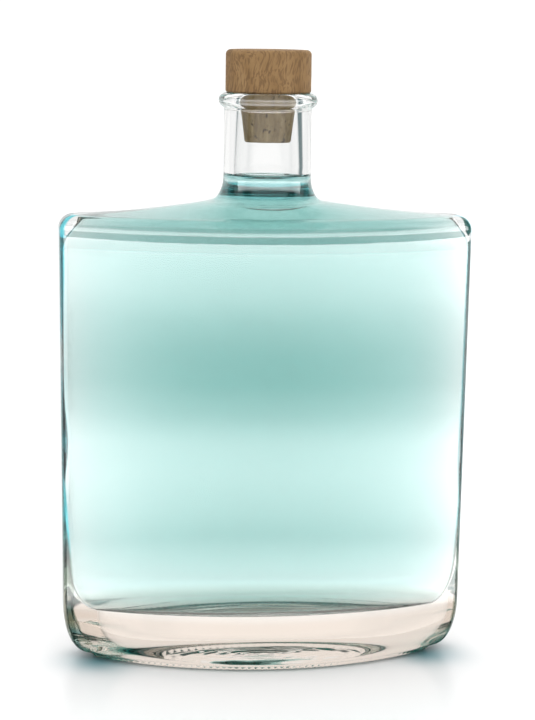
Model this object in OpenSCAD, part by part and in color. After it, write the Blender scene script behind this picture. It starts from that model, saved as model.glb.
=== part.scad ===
// Flat flask bottle of clear glass with a tapered cork stopper under a turned wooden head.
// Millimetres. +Z is up, X runs across the wide faces, and -Y is the front.
// The origin is at the centre of the foot, on the surface that the bottle stands on.

/* [Body] */
// Width across the body, just under the shoulder
body_w = 126.6; // [116:0.2:136]
// Width across the body, just above the heel
foot_w = 123.6; // [112:0.2:131]
// Depth from the front face to the back face
body_d = 53; // [48:0.5:62]
// Width of the flat on each narrow side
side_flat = 6; // [2:0.5:8]
// Radius of the four upright corners
corner_r = 4.2; // [3.6:0.2:6]
// Height of the body up to its shoulder
shoulder_z = 136.6; // [120:0.2:155]
// Radius of the rounded edge round the shoulder
shoulder_r = 4.6; // [3.6:0.1:5.2]
// How far the shoulder climbs from its edge to the neck
shoulder_rise = 4.1; // [2:0.1:6]
// How far the rounded heel cuts in at the narrow sides
heel_side = 8.3; // [6:0.1:11]
// How far the rounded heel cuts in at the front and back
heel_front = 2; // [1.5:0.1:6]
// Height of the rounded heel
heel_h = 16.6; // [8:0.2:20]

/* [Wall] */
// Wall thickness of the wide faces
face_wall = 2.4; // [2:0.1:3.5]
// Wall thickness of the narrow sides
side_wall = 1.8; // [1.6:0.1:4]
// Wall thickness of the shoulder
shoulder_wall = 2.7; // [2:0.1:3.5]
// Radius of the rounded edge inside the shoulder
inside_r = 8; // [3:0.5:9]
// Height of the inside floor above the table, at its edge
floor_z = 15.6; // [12:0.2:19]
// How far the inside floor swells up in the middle
floor_crown = 1; // [0.2:0.1:2]
// How far the rounded inside corner reaches in over the floor
floor_r = 10.4; // [6:0.2:12]
// Height of the rounded inside corner
floor_h = 14.6; // [8:0.2:18]
// Width of the flat ring that the bottle stands on
foot_ring = 2; // [1:0.25:3]
// Height of the hollow under the foot
punt_h = 2.7; // [1:0.1:5]

/* [Neck] */
// Height of the mouth above the table
mouth_z = 173.5; // [166:0.5:182]
// Diameter of the neck
neck_d = 26.6; // [25.5:0.1:28]
// Diameter of the lip
lip_d = 30; // [29:0.1:31.4]
// Height of the lip's bead
lip_h = 4.6; // [4.2:0.1:5.2]
// Radius of the fillet under the lip
lip_fillet = 1.2; // [0.8:0.1:1.6]
// Height of the flare between the neck and the shoulder
flare_h = 7.5; // [5:0.1:9]
// How far the flare spreads out
flare_w = 4.6; // [3:0.1:6]
// Bore diameter at the mouth
bore_mouth_d = 17.8; // [17.2:0.1:18.4]
// Bore diameter at the foot of the neck
bore_base_d = 20; // [18.6:0.1:20.8]
// Radius of the bore's rounded entry
entry_r = 0.8; // [0.4:0.1:1.2]

/* [Stopper] */
// Diameter of the wooden head
head_d = 26; // [23:0.1:29]
// Height of the wooden head
head_h = 12.9; // [10:0.1:16]
// Radius of the head's top edge
head_top_r = 1.5; // [0.5:0.1:2.5]
// Radius of the head's bottom edge
head_foot_r = 0.7; // [0.3:0.1:1.5]
// Diameter of the cork's lower end
cork_end_d = 14; // [12:0.1:15.6]
// Length of cork below the mouth
cork_l = 14.7; // [10:0.1:20]
// Length of cork glued into the head
spigot_l = 6; // [3:0.1:8]
// Width of the chamfer round each end of the cork
cork_chamfer = 0.4; // [0.2:0.1:0.8]
// Clearance between the cork and the bore
seal_gap = 0.1; // [0.05:0.01:0.3]
// Thickness of the glue line between the cork and the head
glue_gap = 0.05; // [0.02:0.01:0.1]

/* [Hidden] */
$fn = 96;

// Segments in one quarter of an outline: along the wide face, round the corner, and on the narrow side
face_n = 12;
corner_n = 5;
side_n = 1;
quarter_n = face_n + corner_n + side_n;
ring_n = 4 * quarter_n;
// Rings along each rounded stretch of the glass
round_n = 5;
slope_n = 3;
punt_n = 3;
floor_n = 3;
// The slope starts nearly level and steepens towards the neck by this power
rise_power = 1.5;
// Smallest radius that a corner shrinks to where a ring is cut in
corner_least = 2;
// How far a cutting shape runs past what it cuts
past = 1;

neck_r = neck_d / 2;
neck_z = shoulder_z + shoulder_rise + flare_h;
inside_z = shoulder_z - shoulder_wall;
// The faceted body laps the true round neck by this much, inside and out, so their edges never meet
neck_lap = 0.05;
bead_r = lip_h / 2;
bead_x = lip_d / 2 - bead_r;
bead_z = mouth_z - bead_r;
cork_top_r = bore_mouth_d / 2 - seal_gap;

glass = [0.80, 0.88, 0.86, 0.45];
beech = [0.66, 0.49, 0.33];
cork = [0.55, 0.44, 0.30];

// ---- Outlines ----

// One quarter of a lens-shaped outline, from the front centre [0, -b] to the side centre [a, 0].
// The wide face is one arc, the corner is an arc of radius r, and the narrow side is flat for f each side of Y = 0.
function quarter(a, b, f, r) =
    let (
        face_r = (pow(a - r, 2) + pow(b - f, 2) - r * r) / (2 * (b - f - r)),
        turn = asin((a - r) / (face_r - r))
    )
    concat(
        [for (i = [0 : face_n - 1])
            let (t = turn * i / face_n) [face_r * sin(t), face_r - b - face_r * cos(t)]],
        [for (i = [0 : corner_n - 1])
            let (t = turn + (90 - turn) * i / corner_n) [a - r + r * sin(t), -f - r * cos(t)]],
        [for (i = [0 : side_n]) [a, -f * (1 - i / side_n)]]
    );

// A quarter mirrored into a whole ring, anticlockwise from the front centre
function whole(q) =
    concat(
        [for (i = [0 : quarter_n - 1]) q[i]],
        [for (i = [quarter_n : -1 : 1]) [q[i].x, -q[i].y]],
        [for (i = [0 : quarter_n - 1]) -q[i]],
        [for (i = [quarter_n : -1 : 1]) [-q[i].x, q[i].y]]
    );

function outline(a, b, f, r) = whole(quarter(a, b, f, r));

// The same number of points on a circle, each in the direction of the outline's own point
function circle_like(ring, r) = [for (p = ring) r * p / norm(p)];

function between(from, to, s) = [for (i = [0 : len(from) - 1]) from[i] + s * (to[i] - from[i])];

function at(ring, z) = [for (p = ring) [p.x, p.y, z]];

// Half the body's outside width at height z
function half_w(z) = foot_w / 2 + (body_w - foot_w) / 2 * (z - heel_h) / (shoulder_z - heel_h);

// An outside ring at height z, cut in by dx at the narrow sides and dy at the wide faces
function outside(z, dx, dy) =
    outline(half_w(z) - dx, body_d / 2 - dy, side_flat / 2, max(corner_r - dy, corner_least));

// An inside ring, cut in from the inside wall in the same way
function inside(z, dx, dy) =
    outside(z, side_wall + dx, face_wall + dy);

// ---- Rings of the glass, from the middle of the hollow under the foot, up the outside and down the inside ----

// The hollow under the foot, out to the flat ring that the bottle stands on
function foot_rings() =
    let (edge = outside(0, heel_side + foot_ring, heel_front + foot_ring))
    concat(
        [for (i = [1 : punt_n])
            let (s = i / (punt_n + 1)) at([for (p = edge) s * p], punt_h * (1 - s * s))],
        [at(edge, 0), at(outside(0, heel_side, heel_front), 0)]
    );

function heel_rings() =
    [for (i = [1 : round_n])
        let (t = 90 * i / round_n, z = heel_h * (1 - cos(t)))
        at(outside(z, heel_side * (1 - sin(t)), heel_front * (1 - sin(t))), z)];

function shoulder_rings() =
    [for (i = [0 : round_n])
        let (t = 90 * i / round_n, d = shoulder_r * (1 - cos(t)), z = shoulder_z - shoulder_r * (1 - sin(t)))
        at(outside(z, d, d), z)];

// From a shoulder ring at height z0 up to a round neck of radius r, by a slope and then a flare that is flare high
function neck_rings(start, z0, r, flare) =
    let (spread = circle_like(start, r + flare_w))
    concat(
        [for (i = [1 : slope_n])
            let (s = i / slope_n) at(between(start, spread, s), z0 + shoulder_rise * pow(s, rise_power))],
        [for (i = [1 : round_n])
            let (t = 90 * i / round_n)
            at(circle_like(start, r + flare_w * (1 - sin(t))), z0 + shoulder_rise + flare * (1 - cos(t)))]
    );

function outside_neck() =
    neck_rings(outside(shoulder_z, shoulder_r, shoulder_r), shoulder_z, neck_r + neck_lap, flare_h);

function inside_neck() =
    neck_rings(inside(inside_z, inside_r, inside_r), inside_z,
        bore_base_d / 2 - neck_lap, neck_z - inside_z - shoulder_rise);

function inside_shoulder_rings() =
    [for (i = [0 : round_n])
        let (t = 90 * i / round_n, d = inside_r * (1 - cos(t)), z = inside_z - inside_r * (1 - sin(t)))
        at(inside(z, d, d), z)];

function floor_rings() =
    let (edge = inside(floor_z, floor_r, floor_r))
    concat(
        [for (i = [1 : floor_n - 1])
            let (s = i / floor_n) at([for (p = edge) s * p], floor_z + floor_crown * (1 - s * s))],
        [at(edge, floor_z)]
    );

function inside_heel_rings() =
    [for (i = [1 : round_n])
        let (t = 90 * i / round_n, z = floor_z + floor_h * (1 - cos(t)), d = floor_r * (1 - sin(t)))
        at(inside(z, d, d), z)];

function reversed(list) = [for (i = [len(list) - 1 : -1 : 0]) list[i]];

// A closed skin over a stack of rings, with a point at each end
module skin(rings, first, last) {
    count = len(rings);
    points = concat([first], [for (ring = rings) each ring], [last]);
    function p(k, i) = 1 + k * ring_n + i % ring_n;
    faces = concat(
        [for (i = [0 : ring_n - 1]) [0, p(0, i), p(0, i + 1)]],
        [for (k = [0 : count - 2], i = [0 : ring_n - 1]) each [
            [p(k, i), p(k + 1, i), p(k + 1, i + 1)],
            [p(k, i), p(k + 1, i + 1), p(k, i + 1)]]],
        [for (i = [0 : ring_n - 1]) [1 + count * ring_n, p(count - 1, i + 1), p(count - 1, i)]]
    );
    polyhedron(points, faces);
}

// ---- Sub-parts ----

module glass_body() {
    skin(
        concat(
            foot_rings(), heel_rings(), shoulder_rings(), outside_neck(),
            reversed(inside_neck()), reversed(inside_shoulder_rings()),
            reversed(inside_heel_rings()), reversed(floor_rings())
        ),
        [0, 0, punt_h],
        [0, 0, floor_z + floor_crown]
    );
}

// Half the section of the neck's glass, with the bead of the lip and the fillet under it
module neck_section() {
    fillet_x = neck_r + lip_fillet;
    fillet_z = bead_z - sqrt(pow(bead_r + lip_fillet, 2) - pow(fillet_x - bead_x, 2));
    touch = bead_r / (bead_r + lip_fillet);
    difference() {
        union() {
            translate([0, neck_z]) square([neck_r, bead_z - neck_z]);
            translate([0, bead_z]) square([bead_x, bead_r]);
            translate([bead_x, bead_z]) circle(r = bead_r);
            difference() {
                polygon([
                    [bead_x - bead_r, fillet_z],
                    [neck_r, fillet_z],
                    [bead_x + touch * (fillet_x - bead_x), bead_z + touch * (fillet_z - bead_z)],
                    [bead_x, bead_z],
                    [bead_x - bead_r, bead_z]
                ]);
                translate([fillet_x, fillet_z]) circle(r = lip_fillet);
            }
        }
        bore_section();
    }
}

// Half the section of the bore: a taper with a rounded entry
module bore_section() {
    mouth_r = bore_mouth_d / 2;
    entry_z = mouth_z - entry_r;
    polygon([[0, neck_z - past], [bore_base_d / 2, neck_z - past], [bore_base_d / 2, neck_z],
        [mouth_r, entry_z], [mouth_r, mouth_z + past], [0, mouth_z + past]]);
    difference() {
        translate([mouth_r - past, entry_z]) square([entry_r + past, entry_r + past]);
        translate([mouth_r + entry_r, entry_z]) circle(r = entry_r);
    }
}

module glass_bottle() {
    color(glass) {
        glass_body();
        rotate_extrude() neck_section();
    }
}

// Half a rounded bar of radius r from z = 0 to h, with edge radii low and high
module rounded_section(r, h, low, high) {
    square([r - low, low]);
    translate([0, low]) square([r, h - low - high]);
    translate([0, h - high]) square([r - high, high]);
    translate([r - low, low]) circle(r = low);
    translate([r - high, h - high]) circle(r = high);
}

module stopper_head() {
    color(beech)
    translate([0, 0, mouth_z])
    difference() {
        rotate_extrude() rounded_section(head_d / 2, head_h, head_foot_r, head_top_r);
        translate([0, 0, -past]) cylinder(r = cork_top_r + glue_gap, h = past + spigot_l + glue_gap);
    }
}

// The cork: a cone in the neck and a plain spigot in the head, both with small chamfers
module stopper_cork() {
    end_r = cork_end_d / 2;
    color(cork)
    translate([0, 0, mouth_z])
    rotate_extrude()
    polygon([
        [0, -cork_l], [end_r - cork_chamfer, -cork_l], [end_r, cork_chamfer - cork_l],
        [cork_top_r, 0], [cork_top_r, spigot_l - cork_chamfer],
        [cork_top_r - cork_chamfer, spigot_l], [0, spigot_l]
    ]);
}

glass_bottle();
stopper_head();
stopper_cork();
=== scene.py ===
import math

import bpy
import numpy as np
from mathutils import Matrix, Vector, noise


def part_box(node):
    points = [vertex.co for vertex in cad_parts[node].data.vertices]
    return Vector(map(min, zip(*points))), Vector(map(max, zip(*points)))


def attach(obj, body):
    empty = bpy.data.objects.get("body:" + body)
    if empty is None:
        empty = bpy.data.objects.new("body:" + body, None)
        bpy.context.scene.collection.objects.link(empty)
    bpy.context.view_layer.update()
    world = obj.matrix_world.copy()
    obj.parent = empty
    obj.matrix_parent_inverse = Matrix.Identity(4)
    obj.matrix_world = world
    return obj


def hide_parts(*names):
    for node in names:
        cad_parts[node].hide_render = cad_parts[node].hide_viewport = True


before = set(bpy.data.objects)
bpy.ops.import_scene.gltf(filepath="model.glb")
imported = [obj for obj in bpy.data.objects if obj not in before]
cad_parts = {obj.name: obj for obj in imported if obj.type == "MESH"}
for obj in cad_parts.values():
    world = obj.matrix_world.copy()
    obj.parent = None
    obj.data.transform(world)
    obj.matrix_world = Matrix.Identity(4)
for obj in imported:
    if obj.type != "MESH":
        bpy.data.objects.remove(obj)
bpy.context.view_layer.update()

# ---------------------------------------------------------------- sizes, in metres, as in the CAD

GLASS_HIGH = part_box("glass_bottle")[1]
HEAD_LOW, HEAD_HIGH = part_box("stopper_head")
CORK_LOW, CORK_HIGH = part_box("stopper_cork")

MOUTH_Z = GLASS_HIGH.z
BODY_HALF = GLASS_HIGH.x          # half the width just under the shoulder
BODY_DEEP = GLASS_HIGH.y          # half the depth
BODY_TAPER = 0.0015               # how much less the half width is just above the heel
FOOT_HALF = BODY_HALF - BODY_TAPER
SIDE_FLAT = 0.003                 # half the flat on each narrow side
CORNER_R = 0.0042
CORNER_LEAST = 0.002              # the corner radius of a ring that is cut in far
SHOULDER_Z, SHOULDER_R = 0.1366, 0.0046
SHOULDER_RISE, RISE_POWER = 0.0041, 1.5
HEEL_SIDE, HEEL_FRONT, HEEL_H = 0.0083, 0.002, 0.0166
FACE_WALL, SIDE_WALL, SHOULDER_WALL = 0.0024, 0.0018, 0.0027
FLOOR_Z, FLOOR_CROWN, FLOOR_R, FLOOR_H = 0.0156, 0.001, 0.0104, 0.0146
FOOT_RING, PUNT_H = 0.002, 0.0027
NECK_R, LIP_R, LIP_H, LIP_FILLET = 0.0133, 0.015, 0.0046, 0.0012
FLARE_H, FLARE_W = 0.0075, 0.0046
BORE_TOP_R, BORE_LOW_R, ENTRY_R = 0.0089, 0.01, 0.0008
NECK_Z = SHOULDER_Z + SHOULDER_RISE + FLARE_H
INSIDE_Z = SHOULDER_Z - SHOULDER_WALL
INSIDE_R = 0.008

HEAD_R = HEAD_HIGH.x
HEAD_TOP_R, HEAD_FOOT_R = 0.0015, 0.0007
CORK_R, CORK_END_R = CORK_HIGH.x, 0.007
CORK_CHAMFER = 0.0004
SPIGOT_GAP = 0.00005

# ---------------------------------------------------------------- sizes of what the CAD leaves out

LIQUID_Z = 0.1478                 # the liquid's level, low in the neck
LIQUID_LAP = 0.00012              # how far the liquid reaches into the glass, so that no air film shows
MENISCUS_H, MENISCUS_W = 0.0013, 0.0014
MENISCUS_REACH = 3                # the meniscus is drawn over this many of its widths
LEVEL_RINGS = [0.006, 0.0075]     # rings on the level part of the liquid, by their distance from the wall

# Where the narrow sides are blown thick or thin inside: each swelling's height, spread and amount
LEFT_SWELLS = [(0.067, 0.009, 0.0007), (0.050, 0.007, -0.0003), (0.028, 0.010, 0.0010)]
RIGHT_SWELLS = [(0.062, 0.012, 0.0005), (0.048, 0.006, -0.0003), (0.026, 0.010, 0.0008)]
SWELL_FROM = 0.8                  # the share of the half width from which they count

# The row of mould grooves on the bearing ring, and how far they bend along it as a share of their spacing
STIPPLES, STIPPLE_H, STIPPLE_BEND = 126, 0.00035, 0.4
FOOT_ROUND, FOOT_ROUND_POWER = 0.0016, 2.5

# The hollow under the foot. Shares are of the way from its middle to its edge
PUNT_POWER = 10
PUNT_STEP, PUNT_STEPS, STEP_SOFT, STEP_FADE = 0.0005, (0.60, 0.80), 0.008, 0.1
PUNT_WAVE, WAVE_FADE = 0.0004, 0.12
RIPPLES, RIPPLE_H, RIPPLE_WARP = 9, 0.0006, 0.06
RIPPLE_MEAN, RIPPLE_SPREAD = 0.7, 0.8
# Its noise fields: the scale along x, the scale along y and the layer
BROAD_FIELD, FINE_FIELD = (70, 190, 3.0), (260, 420, 8.0)
WARP_FIELD, RIPPLE_FIELD = (40, 80, 5.0), (30, 60, 11.0)

HEAD_DENT, HEAD_DENT_SCALE = 0.00006, 260.0
HOLE_MARGIN = 0.0005              # the wood this near the cork's hole stays smooth
PIT_SCALE, PIT_FINE_SCALE = 900, 2100
PIT_FROM, PIT_GAIN, PIT_MOST = 0.38, 0.0012, 0.00035
PIT_CLEAR = 0.0006                # the pits end this far under the mouth

# Points in a quarter of a ring: along the wide face, round the corner, on the narrow side
FACE_N, CORNER_N, SIDE_N = 84, 22, 3
PUNT_N, PUNT_FIRST = 90, 4        # rings in the hollow, and the first one that is made
FLOOR_N, MENISCUS_N, TURNED_N = 20, 12, 192
HEAD_STEP, CORK_STEP = 0.0012, 0.0004


# ---------------------------------------------------------------- rings

def quarter(a, b, f, r):
    """From the front centre (0, -b) to the side centre (a, 0): a wide arc, a corner arc and a flat."""
    face_r = ((a - r) ** 2 + (b - f) ** 2 - r * r) / (2 * (b - f - r))
    turn = math.asin((a - r) / (face_r - r))
    t = np.linspace(0, turn, FACE_N, endpoint=False)
    face = np.column_stack([face_r * np.sin(t), face_r - b - face_r * np.cos(t)])
    t = np.linspace(turn, math.pi / 2, CORNER_N, endpoint=False)
    corner = np.column_stack([a - r + r * np.sin(t), -f - r * np.cos(t)])
    side = np.column_stack([np.full(SIDE_N + 1, a), -f * np.linspace(1, 0, SIDE_N + 1)])
    return np.vstack([face, corner, side])


def outline(a, b, f, r):
    """A whole ring of x, y points, anticlockwise from the front centre."""
    q = quarter(a, b, f, r)
    return np.vstack([q[:-1], q[:0:-1] * [1, -1], -q[:-1], q[:0:-1] * [-1, 1]])


def circle_like(ring, r):
    """A circle of radius r with its points in the same directions as the ring's."""
    return r * ring / np.linalg.norm(ring, axis=1)[:, None]


def at(ring, z):
    return np.column_stack([ring, np.full(len(ring), z)])


def half_w(z):
    return FOOT_HALF + (BODY_HALF - FOOT_HALF) * (z - HEEL_H) / (SHOULDER_Z - HEEL_H)


def outside(z, dx, dy):
    """An outside ring at height z, cut in by dx at the narrow sides and dy at the wide faces."""
    a = min(half_w(z), BODY_HALF) - dx
    return outline(a, BODY_DEEP - dy, SIDE_FLAT, CORNER_R - min(dy, CORNER_R - CORNER_LEAST))


def swell(z, swells):
    return sum(size * math.exp(-((z - middle) / spread) ** 2) for middle, spread, size in swells)


def inside(z, dx, dy, grow=0.0):
    """An inside ring. The narrow sides are thick and thin by turns, and not the same each side."""
    ring = outside(z, SIDE_WALL + dx - grow, FACE_WALL + dy - grow)
    share = np.abs(ring[:, 0]) / ring[:, 0].max()
    reach = np.clip((share - SWELL_FROM) / (1 - SWELL_FROM), 0, 1) ** 2
    ring[:, 0] -= np.where(ring[:, 0] > 0, swell(z, RIGHT_SWELLS), -swell(z, LEFT_SWELLS)) * reach
    return ring


def quarter_turn(n, first=0):
    return [math.pi / 2 * i / n for i in range(first, n + 1)]


def noise_over(p, field):
    across, along, layer = field
    return noise.noise(Vector((p[0] * across, p[1] * along, layer)))


def foot_rings():
    """The hollow under the foot: two low steps, uneven ripples, and a steep edge down to the bearing ring."""
    edge = outside(0, HEEL_SIDE + FOOT_RING, HEEL_FRONT + FOOT_RING)
    rings = []
    for s in [i / PUNT_N for i in range(PUNT_FIRST, PUNT_N)]:
        step = sum(PUNT_STEP / (1 + math.exp(-(s - place) / STEP_SOFT)) for place in PUNT_STEPS)
        ring = at(edge * s, PUNT_H * (1 - s ** PUNT_POWER) - step * min(1.0, (1 - s) / STEP_FADE))
        fade = min(1.0, (1 - s) / WAVE_FADE)
        for p in ring:
            wave = noise_over(p, BROAD_FIELD) + 0.5 * noise_over(p, FINE_FIELD)
            p[2] -= PUNT_WAVE * fade * (0.5 + 0.5 * max(-1.0, min(1.0, wave)))
            phase = math.tau * RIPPLES * (s + RIPPLE_WARP * noise_over(p, WARP_FIELD))
            size = max(0.0, RIPPLE_MEAN + RIPPLE_SPREAD * noise_over(p, RIPPLE_FIELD))
            p[2] -= RIPPLE_H * fade * min(1.0, size) * (0.5 + 0.5 * math.sin(phase))
        rings.append(ring)
    return rings + [at(edge, 0.0)]


def bearing_rings(n=10):
    """The ring that the bottle stands on, with the row of small curved grooves that its mould leaves."""
    around = outside(0, HEEL_SIDE, HEEL_FRONT)
    steps = np.linalg.norm(np.roll(around, -1, axis=0) - around, axis=1)
    run = np.concatenate([[0.0], np.cumsum(steps)[:-1]]) / steps.sum() * STIPPLES
    rings = []
    for i in range(1, n + 1):
        u = i / n
        ring = at(outside(0, HEEL_SIDE + FOOT_RING * (1 - u), HEEL_FRONT + FOOT_RING * (1 - u)), 0.0)
        bow = 1 - (2 * u - 1) ** 2
        groove = 0.5 - 0.5 * np.cos(math.tau * (run + STIPPLE_BEND * bow))
        ring[:, 2] = STIPPLE_H * bow * groove + FOOT_ROUND * u ** FOOT_ROUND_POWER
        rings.append(ring)
    return rings


def heel_rings(n=24):
    """The rounded heel. Its lowest part is lifted a little, where it turns in to the bearing ring."""
    rings = []
    for t in quarter_turn(n, 1):
        z, cut = HEEL_H * (1 - math.cos(t)), 1 - math.sin(t)
        lift = FOOT_ROUND * math.exp(-z / FOOT_ROUND / 2)
        rings.append(at(outside(z, HEEL_SIDE * cut, HEEL_FRONT * cut), z + lift))
    return rings


def wall_rings(ring, low, high, n):
    return [at(ring(z), z) for z in np.linspace(low, high, n)[1:-1]]


def shoulder_rings(ring, z0, r, n=12):
    made = []
    for t in quarter_turn(n):
        d, z = r * (1 - math.cos(t)), z0 - r * (1 - math.sin(t))
        made.append(at(ring(z, d), z))
    return made


def neck_rings(start, z0, r, flare_h, n_slope=24, n_flare=16):
    """From a shoulder ring at height z0 up to a round neck of radius r, by a slope and then a flare."""
    spread = circle_like(start, r + FLARE_W)
    rings = []
    for i in range(1, n_slope + 1):
        s = i / n_slope
        rings.append(at(start + s * (spread - start), z0 + SHOULDER_RISE * s ** RISE_POWER))
    for t in quarter_turn(n_flare, 1):
        rings.append(at(circle_like(start, r + FLARE_W * (1 - math.sin(t))),
                        z0 + SHOULDER_RISE + flare_h * (1 - math.cos(t))))
    return rings


def arc(x, z, r, start, end, n):
    return [(x + r * math.cos(t), z + r * math.sin(t)) for t in np.linspace(start, end, n)]


def lip_profile():
    """Radius and height up the outside of the neck, over the lip and down the bore."""
    bead_r = LIP_H / 2
    bead_x, bead_z = LIP_R - bead_r, MOUTH_Z - bead_r
    fillet_x = NECK_R + LIP_FILLET
    fillet_z = bead_z - math.sqrt((bead_r + LIP_FILLET) ** 2 - (fillet_x - bead_x) ** 2)
    touch = math.atan2(fillet_z - bead_z, fillet_x - bead_x)
    line = [(NECK_R, z) for z in np.linspace(NECK_Z, fillet_z, 14)[1:-1]]
    line += arc(fillet_x, fillet_z, LIP_FILLET, math.pi, touch + math.pi, n=8)
    line += arc(bead_x, bead_z, bead_r, touch, math.pi / 2, n=20)[1:]
    entry_z = MOUTH_Z - ENTRY_R
    line += arc(BORE_TOP_R + ENTRY_R, entry_z, ENTRY_R, math.pi / 2, math.pi, n=8)
    line += [(BORE_TOP_R + (BORE_LOW_R - BORE_TOP_R) * s, entry_z + (NECK_Z - entry_z) * s)
             for s in np.linspace(0, 1, 16)[1:-1]]
    return line


def inner_rings(grow=0.0):
    """From the middle of the inside floor up to the foot of the bore. grow makes the liquid's skin."""
    edge = inside(FLOOR_Z, FLOOR_R, FLOOR_R, grow)
    rings = []
    for s in [i / FLOOR_N for i in range(1, FLOOR_N + 1)]:
        rings.append(at(edge * s, FLOOR_Z - grow + FLOOR_CROWN * (1 - s * s)))
    for t in quarter_turn(16, 1):
        z, d = FLOOR_Z + FLOOR_H * (1 - math.cos(t)), FLOOR_R * (1 - math.sin(t))
        rings.append(at(inside(z, d, d, grow), z - grow * math.cos(t)))
    rings += wall_rings(lambda z: inside(z, 0, 0, grow), FLOOR_Z + FLOOR_H, INSIDE_Z - INSIDE_R, 44)
    rings += shoulder_rings(lambda z, d: inside(z, d, d, grow), INSIDE_Z, INSIDE_R)
    start = inside(INSIDE_Z, INSIDE_R, INSIDE_R, grow)
    top = neck_rings(start, INSIDE_Z, BORE_LOW_R + grow, NECK_Z - INSIDE_Z - SHOULDER_RISE)
    for ring in top:
        ring[:, 2] += grow
    top[-1][:, 2] = NECK_Z
    return rings + top


# ---------------------------------------------------------------- meshes

def skin_object(name, rings, first, last, material):
    """A closed smooth skin over a stack of rings, with a point at each end."""
    n = len(rings[0])
    points = np.vstack([[first]] + rings + [[last]])
    i = np.arange(n)
    j = (i + 1) % n
    faces = [(0, int(1 + a), int(1 + b)) for a, b in zip(j, i)]
    for k in range(len(rings) - 1):
        low, high = 1 + k * n, 1 + (k + 1) * n
        faces += np.column_stack([low + i, low + j, high + j, high + i]).tolist()
    top = 1 + (len(rings) - 1) * n
    end = len(points) - 1
    faces += [(int(end), int(top + a), int(top + b)) for a, b in zip(i, j)]
    mesh = bpy.data.meshes.new(name)
    mesh.from_pydata(points.tolist(), [], faces)
    mesh.update()
    mesh.polygons.foreach_set("use_smooth", [True] * len(mesh.polygons))
    mesh.materials.append(material)
    return linked(bpy.data.objects.new(name, mesh))


def linked(obj):
    bpy.context.scene.collection.objects.link(obj)
    return obj


def glass_rings():
    start = outside(SHOULDER_Z, SHOULDER_R, SHOULDER_R)
    rings = foot_rings() + bearing_rings() + heel_rings()
    rings += wall_rings(lambda z: outside(z, 0, 0), HEEL_H, SHOULDER_Z - SHOULDER_R, 40)
    rings += shoulder_rings(lambda z, d: outside(z, d, d), SHOULDER_Z, SHOULDER_R)
    rings += neck_rings(start, SHOULDER_Z, NECK_R, FLARE_H)
    rings += [at(circle_like(start, r), z) for r, z in lip_profile()]
    return rings + inner_rings()[::-1]


def make_glass(material):
    low, high = (0, 0, PUNT_H), (0, 0, FLOOR_Z + FLOOR_CROWN)
    obj = skin_object("glass_skin", glass_rings(), low, high, material)
    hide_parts("glass_bottle")
    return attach(obj, "bottle")


def make_liquid(material):
    """The liquid: the bottle's inside up to its level, closed by a meniscus."""
    rings = [r for r in inner_rings(LIQUID_LAP) if r[:, 2].max() < LIQUID_Z + MENISCUS_H * 0.5]
    wall = BORE_LOW_R + LIQUID_LAP
    start = rings[-1][:, :2]
    rings.append(at(circle_like(start, wall), LIQUID_Z + MENISCUS_H))
    curved = [i / MENISCUS_N * MENISCUS_REACH * MENISCUS_W for i in range(1, MENISCUS_N + 1)]
    for d in curved + LEVEL_RINGS:
        climb = MENISCUS_H * math.exp(-d / MENISCUS_W)
        rings.append(at(circle_like(start, wall - d), LIQUID_Z + climb))
    low = (0, 0, FLOOR_Z + FLOOR_CROWN - LIQUID_LAP)
    obj = skin_object("liquid_fill", rings, low, (0, 0, LIQUID_Z), material)
    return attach(obj, "bottle")


def turned_object(name, profile, material):
    """A turned solid from a profile of radius and height that starts and ends on the axis."""
    t = np.arange(TURNED_N) * math.tau / TURNED_N
    ring = np.column_stack([np.cos(t), np.sin(t)])
    rings = [at(ring * r, z) for r, z in profile[1:-1]]
    return skin_object(name, rings, (0, 0, profile[0][1]), (0, 0, profile[-1][1]), material)


def filled(line, step):
    """The same profile with a point at least every step along it, so that it can carry small dents."""
    made = [line[0]]
    for (r0, z0), (r1, z1) in zip(line, line[1:]):
        n = max(1, math.ceil(math.hypot(r1 - r0, z1 - z0) / step))
        made += [(r0 + (r1 - r0) * i / n, z0 + (z1 - z0) * i / n) for i in range(1, n + 1)]
    return made


def dent_wood(obj, hole_r, hole_top):
    """Soft unevenness of worked wood. It only cuts in, so the head stays in its CAD box."""
    for vertex in obj.data.vertices:
        p = vertex.co
        if math.hypot(p.x, p.y) < hole_r + HOLE_MARGIN and p.z < hole_top + HOLE_MARGIN:
            continue
        amount = HEAD_DENT * (0.5 + 0.5 * noise.noise(p * HEAD_DENT_SCALE))
        vertex.co -= vertex.normal * max(amount, 0.0)


def pit_cork(obj):
    """The shallow pits in the sides of real cork, on the part that shows through the glass."""
    for vertex in obj.data.vertices:
        pit = noise.noise(vertex.co * PIT_SCALE) + 0.5 * noise.noise(vertex.co * PIT_FINE_SCALE)
        if vertex.co.z < MOUTH_Z - PIT_CLEAR and pit > PIT_FROM:
            vertex.co -= vertex.normal * min(PIT_GAIN * (pit - PIT_FROM), PIT_MOST)


def make_head(material):
    """The turned wooden head, with the blind hole for the cork."""
    low, high = HEAD_LOW.z, HEAD_HIGH.z
    hole_r, hole_top = CORK_R + SPIGOT_GAP, CORK_HIGH.z + SPIGOT_GAP
    line = [(0.0, hole_top), (hole_r, hole_top), (hole_r, low), (HEAD_R - HEAD_FOOT_R, low)]
    line += arc(HEAD_R - HEAD_FOOT_R, low + HEAD_FOOT_R, HEAD_FOOT_R, -math.pi / 2, 0, n=8)[1:]
    line += arc(HEAD_R - HEAD_TOP_R, high - HEAD_TOP_R, HEAD_TOP_R, 0, math.pi / 2, n=14)
    line += [(0.0, high)]
    obj = turned_object("wooden_head", filled(line, HEAD_STEP), material)
    dent_wood(obj, hole_r, hole_top)
    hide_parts("stopper_head")
    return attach(obj, "stopper")


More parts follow.
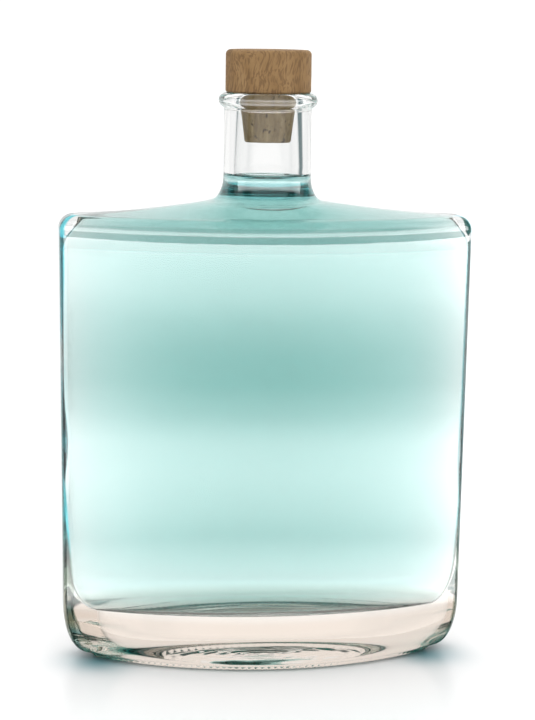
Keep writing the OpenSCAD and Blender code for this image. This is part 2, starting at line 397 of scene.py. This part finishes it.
def make_cork(material):
    """The tapered cork with its spigot."""
    low, high = CORK_LOW.z, CORK_HIGH.z
    line = [(0.0, low), (CORK_END_R - CORK_CHAMFER, low), (CORK_END_R, low + CORK_CHAMFER),
            (CORK_R, MOUTH_Z), (CORK_R, high - CORK_CHAMFER), (CORK_R - CORK_CHAMFER, high), (0.0, high)]
    obj = turned_object("cork_plug", filled(line, CORK_STEP), material)
    pit_cork(obj)
    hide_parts("stopper_cork")
    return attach(obj, "stopper")


# ---------------------------------------------------------------- shader nodes

class Wire:
    """A number on its way between shader nodes. Plain arithmetic with it adds the nodes that work it out."""

    def __init__(self, tree, socket):
        self.tree, self.socket = tree, socket

    def calc(self, kind, *values):
        return Wire(self.tree, add_node(self.tree, "Math", values, operation=kind).outputs[0])

    def __add__(self, other):
        return self.calc("ADD", self, other)

    def __sub__(self, other):
        return self.calc("SUBTRACT", self, other)

    def __rsub__(self, other):
        return self.calc("SUBTRACT", other, self)

    def __mul__(self, other):
        return self.calc("MULTIPLY", self, other)

    def __truediv__(self, other):
        return self.calc("DIVIDE", self, other)

    def __abs__(self):
        return self.calc("ABSOLUTE", self)

    def times_plus(self, factor, more):
        return self.calc("MULTIPLY_ADD", self, factor, more)

    def at_least(self, other):
        return self.calc("MAXIMUM", self, other)

    def at_most(self, other):
        return self.calc("MINIMUM", self, other)

    def above(self, other):
        return self.calc("GREATER_THAN", self, other)

    def below(self, other):
        return self.calc("LESS_THAN", self, other)

    def root(self):
        return self.calc("SQRT", self)

    def power_of_e(self):
        return self.calc("EXPONENT", self)


def feed(tree, socket, value):
    """Set a socket to a number, a vector or a colour, or link it to a wire or to another node's output."""
    if isinstance(value, Wire):
        tree.links.new(value.socket, socket)
    elif isinstance(value, bpy.types.NodeSocket):
        tree.links.new(value, socket)
    elif socket.type == "RGBA":
        socket.default_value = (*value, 1)
    else:
        socket.default_value = value


def fill(tree, made, values):
    """Feed a node's inputs from a table of name or number to value."""
    for key, value in values.items():
        feed(tree, made.inputs[key], value)
    return made


def add_node(tree, kind, values=(), **settings):
    """A new node with its settings, and with its inputs fed in their order or from a table."""
    made = tree.nodes.new("ShaderNode" + kind)
    for key, value in settings.items():
        setattr(made, key, value)
    return fill(tree, made, values if isinstance(values, dict) else dict(enumerate(values)))


def new_material(name):
    """A material with a Principled shader: the material, its tree, its output and the shader."""
    material = bpy.data.materials.new(name)
    material.use_nodes = True
    tree = material.node_tree
    tree.nodes.clear()
    out = add_node(tree, "OutputMaterial")
    shader = add_node(tree, "BsdfPrincipled")
    feed(tree, out.inputs["Surface"], shader.outputs[0])
    return material, tree, out, shader


def place_in(tree, kind):
    """The three coordinates of a place, as wires."""
    place = add_node(tree, "TexCoord").outputs[kind]
    return [Wire(tree, part) for part in add_node(tree, "SeparateXYZ", [place]).outputs]


def light_path(tree, *names):
    path = add_node(tree, "LightPath")
    return [Wire(tree, path.outputs[name]) for name in names]


def level_distance(x, y):
    return (x * x + y * y).root()


def mix(tree, factor, low, high):
    """A number that is low where factor is 0 and high where it is 1."""
    return Wire(tree, add_node(tree, "Mix", {0: factor, 2: low, 3: high}).outputs[0])


def colour_mix(tree, factor, low, high, kind="MIX"):
    """The same for a colour. Where kind is MULTIPLY or ADD, high is laid over low by factor."""
    made = add_node(tree, "Mix", {0: factor, 6: low, 7: high}, data_type="RGBA", blend_type=kind)
    return made.outputs[2]


def ramp(tree, factor, stops):
    """A colour ramp with the stops given as (position, grey or colour)."""
    made = add_node(tree, "ValToRGB", [factor])
    items = made.color_ramp.elements
    while len(items) > 1:
        items.remove(items[-1])
    for k, (place, value) in enumerate(stops):
        item = items[0] if k == 0 else items.new(place)
        item.position = place
        item.color = (*value, 1) if isinstance(value, tuple) else (value, value, value, 1)
    return Wire(tree, made.outputs[0])


def grain(tree, scale, detail, warp=0.0, warp_scale=1.0):
    """Noise with its own scale along each axis, pushed about by warp metres with a slower noise."""
    place = add_node(tree, "TexCoord").outputs["Object"]
    if warp:
        swirl = add_node(tree, "TexNoise", {"Vector": place, "Scale": warp_scale, "Detail": 1.0})
        push = [swirl.outputs["Color"], (warp, warp, warp), place]
        place = add_node(tree, "VectorMath", push, operation="MULTIPLY_ADD").outputs[0]
    place = add_node(tree, "VectorMath", [place, scale], operation="MULTIPLY").outputs[0]
    made = add_node(tree, "TexNoise", {"Vector": place, "Scale": 1.0, "Detail": detail})
    return Wire(tree, made.outputs[0])


def bump(tree, height, distance, strength):
    made = add_node(tree, "Bump", {"Height": height, "Distance": distance, "Strength": strength})
    return made.outputs[0]


# ---------------------------------------------------------------- materials

WHITE = (1.0, 1.0, 1.0)

GLASS_IOR, GLASS_ABSORBS, GLASS_DENSITY = 1.52, (0.82, 0.65, 0.50), 3.0
HAZE = (0.965, 0.975, 0.97)       # the tint of the glass where it is cloudiest
HAZE_GRAIN = {"scale": (40.0, 40.0, 25.0), "detail": 2.0}
SMUDGE_GRAIN = {"scale": (60.0, 60.0, 35.0), "detail": 1.0}
# Of each material: its least and greatest roughness, and the distance and strength of its bump
GLASS_ROUGH, GLASS_BUMP = (0.0, 0.02), (0.00004, 0.5)

# Height as a share of the bottle's, and the tint of the glass there: warm in the thick foot, and painted
# shade in two dark bands at the foot of the neck, along the flare and at the liquid's level, for refraction's
# dark lines
WARM, PAINTED_SHADE_BAND, PAINTED_THIN_SHADE_BAND = (0.89, 0.81, 0.745), (0.14, 0.52, 0.56), (0.14, 0.50, 0.52)
HEIGHT_TINT_AND_SHADE_STOPS = [
    (0.0, WARM), (0.085, WARM), (0.098, WHITE), (0.815, WHITE), (0.822, PAINTED_SHADE_BAND), (0.834, PAINTED_SHADE_BAND),
    (0.839, (0.95, 1.0, 1.0)), (0.850, WHITE), (0.8535, PAINTED_THIN_SHADE_BAND), (0.857, WHITE), (1.0, WHITE)]

# The painted shade at the sides: a band of dark blue-green painted into the glass for the dark edges that
# refraction shows there. Its greatest width, the softness of its edge, its share of that width at each
# height, and its tone
PAINTED_EDGE_WIDTH, PAINTED_EDGE_SOFT = 0.0034, 0.0005
LEFT_PAINTED_EDGE_STOPS = [
    (0.0, 0.7), (0.05, 0.9), (0.13, 1.0), (0.20, 0.75), (0.27, 0.55), (0.32, 0.3), (0.39, 0.6), (0.46, 0.3),
    (0.55, 0.1), (0.60, 0.3), (0.70, 0.5), (0.80, 0.55)]
RIGHT_PAINTED_EDGE_STOPS = [
    (0.0, 0.6), (0.06, 0.7), (0.14, 0.6), (0.24, 0.35), (0.29, 0.25), (0.37, 0.45), (0.46, 0.3), (0.55, 0.2),
    (0.75, 0.22), (0.80, 0.35)]
PAINTED_EDGE_SHADE_STOPS = [
    (0.0, (0.04, 0.22, 0.26)), (0.03, (0.08, 0.20, 0.20)), (0.07, (0.18, 0.20, 0.14)),
    (0.18, (0.16, 0.24, 0.18)), (0.23, (0.03, 0.60, 0.72)), (0.45, (0.05, 0.52, 0.68)),
    (0.70, (0.04, 0.58, 0.78)), (0.80, (0.03, 0.50, 0.60))]

LIQUID_IOR, LIQUID_ABSORBS, LIQUID_DENSITY = 1.333, (0.165, 0.605, 0.57), 40.0
DRIFT = (0.985, 1.0, 1.0)         # the tint of the liquid where it drifts furthest
DRIFT_GRAIN = {"scale": (35.0, 35.0, 18.0), "detail": 1.0}
LIQUID_ROUGH, LIQUID_BUMP = (0.0, 0.01), (0.00002, 0.5)

WOOD_STOPS = [(0.3, (0.235, 0.138, 0.058)), (0.5, (0.320, 0.196, 0.088)), (0.72, (0.395, 0.252, 0.120))]
# The tones of the fine grain and of the flecks, and how much of each is laid over the figure
LINE_TONE, LINE_SHARE = (0.20, 0.115, 0.052), 0.35
FLECK_TONE, FLECK_SHARE = (0.115, 0.062, 0.030), 0.6
FLECK_STOPS = [(0.0, 1.0), (0.40, 1.0), (0.52, 0.0), (1.0, 0.0)]
FIGURE_GRAIN = {"scale": (150.0, 150.0, 45.0), "detail": 3.0, "warp": 0.010, "warp_scale": 60.0}
LINE_GRAIN = {"scale": (2600.0, 2600.0, 260.0), "detail": 2.0, "warp": 0.006, "warp_scale": 90.0}
FLECK_GRAIN = {"scale": (1900.0, 1900.0, 250.0), "detail": 1.5, "warp": 0.007, "warp_scale": 80.0}
WOOD_ROUGH, WOOD_BUMP, WOOD_SHINE = (0.55, 0.75), (0.00008, 0.7), 0.15
LINE_HEIGHT = 0.4                 # how high the fine grain stands in the bump, where a fleck is 1 deep

CORK_STOPS = [(0.3, (0.250, 0.175, 0.080)), (0.5, (0.390, 0.285, 0.140)), (0.68, (0.520, 0.395, 0.215))]
CRUMB_TONE, CRUMB_SHARE = (0.22, 0.15, 0.08), 0.3
PIT_TONE, PIT_SHARE = (0.075, 0.045, 0.022), 0.8
PIT_STOPS = [(0.0, 1.0), (0.30, 1.0), (0.36, 0.0), (1.0, 0.0)]
STREAK_GRAIN = {"scale": (700.0, 700.0, 90.0), "detail": 3.0, "warp": 0.003, "warp_scale": 120.0}
CRUMB_GRAIN = {"scale": (2200.0, 2200.0, 1600.0), "detail": 2.0}
PIT_GRAIN = {"scale": (950.0, 950.0, 520.0), "detail": 1.0}
CORK_ROUGH, CORK_BUMP, CORK_SHINE = (0.75, 0.95), (0.00012, 0.8), 0.2
CRUMB_HEIGHT = 0.5                # how high the crumbs stand in the bump, where a pit is 1 deep


def edge_distance(x, z):
    """How far a point of the glass lies inside the outline that the bottle shows from the front."""
    slope = (BODY_HALF - FOOT_HALF) / (SHOULDER_Z - HEEL_H)
    half = z.times_plus(slope, FOOT_HALF - HEEL_H * slope)
    drop = z.times_plus(-1 / HEEL_H, 1.0).at_least(0.0)
    bow = (1.0 - drop * drop).at_least(0.0).root()
    rise = z.times_plus(1 / SHOULDER_R, (SHOULDER_R - SHOULDER_Z) / SHOULDER_R)
    rise = rise.at_least(0.0).at_most(1.0)
    fall = (1.0 - rise * rise).root()
    inset = bow.times_plus(-HEEL_SIDE, HEEL_SIDE) + fall.times_plus(-SHOULDER_R, SHOULDER_R)
    return half - inset - abs(x)


def glass_tint(tree):
    """Clear glass, warm where it is thick at the foot. Painted shade: dark bands at the neck and the liquid's
    level, and dark blue-green at the sides where it is seen edge on.
    """
    x, _, z = place_in(tree, "Object")
    up = z * (1 / MOUTH_Z)
    clear = colour_mix(tree, grain(tree, **HAZE_GRAIN), HAZE, WHITE)
    # The height tint is warm at the foot and carries the painted shade bands at the neck's foot and the
    # liquid's level
    body = colour_mix(tree, 1.0, clear, ramp(tree, up, HEIGHT_TINT_AND_SHADE_STOPS), "MULTIPLY")
    share = mix(tree, x.above(0.0), ramp(tree, up, LEFT_PAINTED_EDGE_STOPS), ramp(tree, up, RIGHT_PAINTED_EDGE_STOPS))
    # Painted shade: how far the dark band at the sides covers the glass
    painted_edge_cover = (share * PAINTED_EDGE_WIDTH - edge_distance(x, z)) * (1 / PAINTED_EDGE_SOFT)
    painted_edge_cover = painted_edge_cover.at_least(0.0).at_most(1.0) * z.below(SHOULDER_Z)
    return colour_mix(tree, painted_edge_cover, body, ramp(tree, up, PAINTED_EDGE_SHADE_STOPS))


def finish(material, tree, shader, tone, rough, normal):
    fill(tree, shader, {"Base Color": tone, "Roughness": rough, "Normal": normal})
    return material


def clear_material(name, ior, absorbs, density):
    """A refractive material that takes up light on its way through."""
    material, tree, out, shader = new_material(name)
    fill(tree, shader, {"IOR": ior, "Transmission Weight": 1.0})
    volume = add_node(tree, "VolumeAbsorption", {"Color": absorbs, "Density": density})
    feed(tree, out.inputs["Volume"], volume.outputs[0])
    return material, tree, shader


def glass_material():
    """Blown glass: faintly uneven, with smudges that dull it by a touch."""
    material, tree, shader = clear_material("clear_glass", GLASS_IOR, GLASS_ABSORBS, GLASS_DENSITY)
    smudge = grain(tree, **SMUDGE_GRAIN)
    return finish(material, tree, shader, glass_tint(tree), mix(tree, smudge, *GLASS_ROUGH),
                  bump(tree, smudge, *GLASS_BUMP))


def liquid_material():
    """A pale turquoise liquid whose tone drifts slightly."""
    material, tree, shader = clear_material("turquoise_liquid", LIQUID_IOR, LIQUID_ABSORBS, LIQUID_DENSITY)
    drift = grain(tree, **DRIFT_GRAIN)
    return finish(material, tree, shader, colour_mix(tree, drift, DRIFT, WHITE),
                  mix(tree, drift, *LIQUID_ROUGH), bump(tree, drift, *LIQUID_BUMP))


def wood_material():
    """Beech: a warm brown with a soft figure, and dark flecks up the head that lean where the grain turns."""
    material, tree, _, shader = new_material("turned_beech")
    flecks = ramp(tree, grain(tree, **FLECK_GRAIN), FLECK_STOPS)
    lines = grain(tree, **LINE_GRAIN)
    figure = ramp(tree, grain(tree, **FIGURE_GRAIN), WOOD_STOPS)
    tone = colour_mix(tree, lines * LINE_SHARE, figure, LINE_TONE)
    tone = colour_mix(tree, flecks * FLECK_SHARE, tone, FLECK_TONE)
    fill(tree, shader, {"Specular IOR Level": WOOD_SHINE})
    return finish(material, tree, shader, tone, mix(tree, lines, *WOOD_ROUGH),
                  bump(tree, lines * LINE_HEIGHT - flecks, *WOOD_BUMP))


def cork_material():
    """Cork: tan with upright brown streaks, dark pits and a dull face."""
    material, tree, _, shader = new_material("cork")
    streaks = ramp(tree, grain(tree, **STREAK_GRAIN), CORK_STOPS)
    crumbs = grain(tree, **CRUMB_GRAIN)
    pits = ramp(tree, grain(tree, **PIT_GRAIN), PIT_STOPS)
    tone = colour_mix(tree, crumbs * CRUMB_SHARE, streaks, CRUMB_TONE)
    tone = colour_mix(tree, pits * PIT_SHARE, tone, PIT_TONE)
    fill(tree, shader, {"Specular IOR Level": CORK_SHINE})
    return finish(material, tree, shader, tone, mix(tree, crumbs, *CORK_ROUGH),
                  bump(tree, crumbs * CRUMB_HEIGHT - pits, *CORK_BUMP))


# ---------------------------------------------------------------- camera and stage

# The camera stands in front, a little to the left, and looks down on the bottle. Angles are in degrees
CAMERA_TURN, CAMERA_PITCH, CAMERA_ROLL = 7.963, 8.551, 0.823
CAMERA_DISTANCE, CAMERA_ASIDE, CAMERA_HEIGHT = 0.728, 0.000939, 0.2012
LENS, SENSOR_WIDTH = 119.763, 36.0

FLOOR_RADIUS, FLOOR_POINTS = 1.6, 96
# The dark tone is painted shade: the table turns near black for rays that the front of the glass mirrors
FLOOR_WHITE, FLOOR_PAINTED_DARK, FLOOR_ROUGH = (0.9, 0.9, 0.9), (0.02, 0.02, 0.02), 0.3
# On the table this glow is painted: the table gives off light only for rays that the front of the glass
# mirrors
GLOW = 10.0                       # how bright the table and the room show in the front of the glass
# Distance from the bottle as a share of the floor's radius, and the share of the painted glow there
GLOW_STOPS = [
    (0.0, 0.0), (0.07, 0.0), (0.085, 0.9), (0.104, 0.71), (0.134, 0.37), (0.167, 0.57), (0.206, 0.71),
    (0.25, 0.65), (0.30, 0.23), (0.357, 0.0), (0.422, 0.03), (0.502, 0.22), (0.596, 0.54), (0.711, 0.74),
    (0.806, 0.98), (0.91, 1.0)]
# Half the height of the direction plus a half, and the share of the glow there, above the table
GLOW_HEIGHT_STOPS = [(0.505, 0.0), (0.515, 0.7), (0.68, 0.55), (0.75, 0.0)]
# A ray that the front of the glass mirrors straight to the camera has a depth under this
FIRST_MIRROR = 2.5

# The painted glow that stands in for the light falling through the bottle on the table: its half width, its
# half depth and its strength
UNDER_X, UNDER_Y, UNDER_LIGHT = 0.090, 0.075, 0.2
# The coloured shade of the bottle's ends on the table: its place, its width and depth, its share and its tone
SHADE_X, SHADE_Y, SHADE_W, SHADE_D = 0.051, 0.008, 0.010, 0.012
SHADE_SHARE, SHADE_TONE = 0.85, (0.05, 0.26, 0.31)

DARK_CARD = (0.09, 0.15, 0.16)
# The cosine of the angle to the front or back, and the brightness there
SIDE_STOPS = [(0.0, 0.95), (0.18, 0.9), (0.25, DARK_CARD), (0.55, DARK_CARD), (0.65, 0.9), (0.75, 1.0)]
# Half the height of the direction plus a half, and the brightness there: seen in glass, and lighting the rest
HEIGHT_STOPS = [(0.0, 1.0), (0.86, 1.0), (0.92, 0.4), (1.0, 0.4)]
ROOM_STOPS = [(0.5, 0.2), (0.65, 0.3), (0.8, 0.8), (1.0, 1.0)]
ROOM_LIGHT = 1.9
BACKDROP = (1.1, 1.1, 1.1)


def make_camera():
    camera = bpy.data.cameras.new("camera")
    camera.sensor_fit = "AUTO"
    camera.sensor_width = SENSOR_WIDTH
    camera.lens = LENS
    camera.clip_start = 0.01
    camera.clip_end = 50
    obj = linked(bpy.data.objects.new("camera", camera))
    turn, pitch, roll = [math.radians(angle) for angle in (CAMERA_TURN, CAMERA_PITCH, CAMERA_ROLL)]
    place = Vector((CAMERA_ASIDE * math.cos(turn) - CAMERA_DISTANCE * math.sin(turn),
                    -CAMERA_ASIDE * math.sin(turn) - CAMERA_DISTANCE * math.cos(turn), CAMERA_HEIGHT))
    obj.matrix_world = (Matrix.Translation(place) @ Matrix.Rotation(-turn, 4, "Z")
                        @ Matrix.Rotation(math.pi / 2 - pitch, 4, "X") @ Matrix.Rotation(roll, 4, "Z"))
    bpy.context.scene.camera = obj


def corner_shade(x, y):
    """The share of the coloured shade that the two ends of the bottle throw on the table."""
    across = (abs(x) - SHADE_X) * (1 / SHADE_W)
    along = (y + SHADE_Y) * (1 / SHADE_D)
    return ((across * across + along * along) * -1.0).power_of_e() * SHADE_SHARE


def painted_through_light(x, y):
    """A painted glow on the table under and behind the bottle, standing in for the light that falls through
    it.
    """
    across, along = x * (1 / UNDER_X), y * (1 / UNDER_Y)
    away = across * across + along * along
    return (1.0 - away * away).at_least(0.0) * UNDER_LIGHT


def make_floor():
    """A white satin table. For rays that the front of the glass mirrors it is painted near black with a
    painted glow that fades and returns with distance; it has a painted glow under the bottle for rays through
    the glass, and painted coloured shade at the bottle's ends.
    """
    material, tree, _, shader = new_material("floor_white")
    x, y, _ = place_in(tree, "Object")
    glossy, through = light_path(tree, "Is Glossy Ray", "Is Transmission Ray")
    glow = ramp(tree, level_distance(x, y) * (1 / FLOOR_RADIUS), GLOW_STOPS)
    # The rays that the front of the glass mirrors, where the table is painted dark and given its painted glow
    painted_mirror_mask = (glossy - through).at_least(0.0) * y.below(0.0)
    shade = colour_mix(tree, corner_shade(x, y), FLOOR_WHITE, SHADE_TONE)
    fill(tree, shader, {
        "Base Color": colour_mix(tree, painted_mirror_mask, shade, FLOOR_PAINTED_DARK), "Roughness": FLOOR_ROUGH,
        "Emission Color": WHITE, "Emission Strength": glow * painted_mirror_mask * GLOW + painted_through_light(x, y) * through})
    turns = [math.tau * i / FLOOR_POINTS for i in range(FLOOR_POINTS)]
    mesh = bpy.data.meshes.new("floor")
    mesh.from_pydata([(FLOOR_RADIUS * math.cos(t), FLOOR_RADIUS * math.sin(t), 0) for t in turns], [],
                     [list(range(FLOOR_POINTS))])
    mesh.materials.append(material)
    linked(bpy.data.objects.new("floor", mesh))


def make_world():
    """A soft white room. Glass shows it with a bright front and back, darker sides and a darker ceiling."""
    world = bpy.data.worlds.new("studio")
    bpy.context.scene.world = world
    world.use_nodes = True
    tree = world.node_tree
    x, y, z = place_in(tree, "Generated")
    glossy, through = light_path(tree, "Is Glossy Ray", "Is Transmission Ray")
    depth, camera = light_path(tree, "Ray Depth", "Is Camera Ray")
    sides = ramp(tree, abs(y) / level_distance(x, y).at_least(1e-4), SIDE_STOPS)
    up = z.times_plus(0.5, 0.5)
    seen = colour_mix(tree, 1.0, sides, ramp(tree, up, HEIGHT_STOPS), "MULTIPLY")
    front = (glossy - through).at_least(0.0) * (depth.below(FIRST_MIRROR) * y.below(0.0))
    glow = ramp(tree, up, GLOW_HEIGHT_STOPS) * GLOW
    seen = colour_mix(tree, 1.0, seen, front * glow, "ADD")
    room = ramp(tree, up, ROOM_STOPS) * ROOM_LIGHT
    shown = colour_mix(tree, glossy.at_least(through), room, seen)
    fill(tree, tree.nodes["Background"], {0: colour_mix(tree, camera, shown, BACKDROP), 1: 1.0})


def set_light_paths():
    """Light crosses six surfaces on its way through the filled bottle, so the paths are let run on."""
    scene = bpy.context.scene
    scene.view_settings.view_transform = "Standard"
    scene.cycles.max_bounces = 40
    scene.cycles.transmission_bounces = 40
    scene.cycles.glossy_bounces = 24
    scene.cycles.diffuse_bounces = 4


set_light_paths()
make_camera()
make_world()
make_floor()
make_glass(glass_material())
make_liquid(liquid_material())
make_head(wood_material())
make_cork(cork_material())
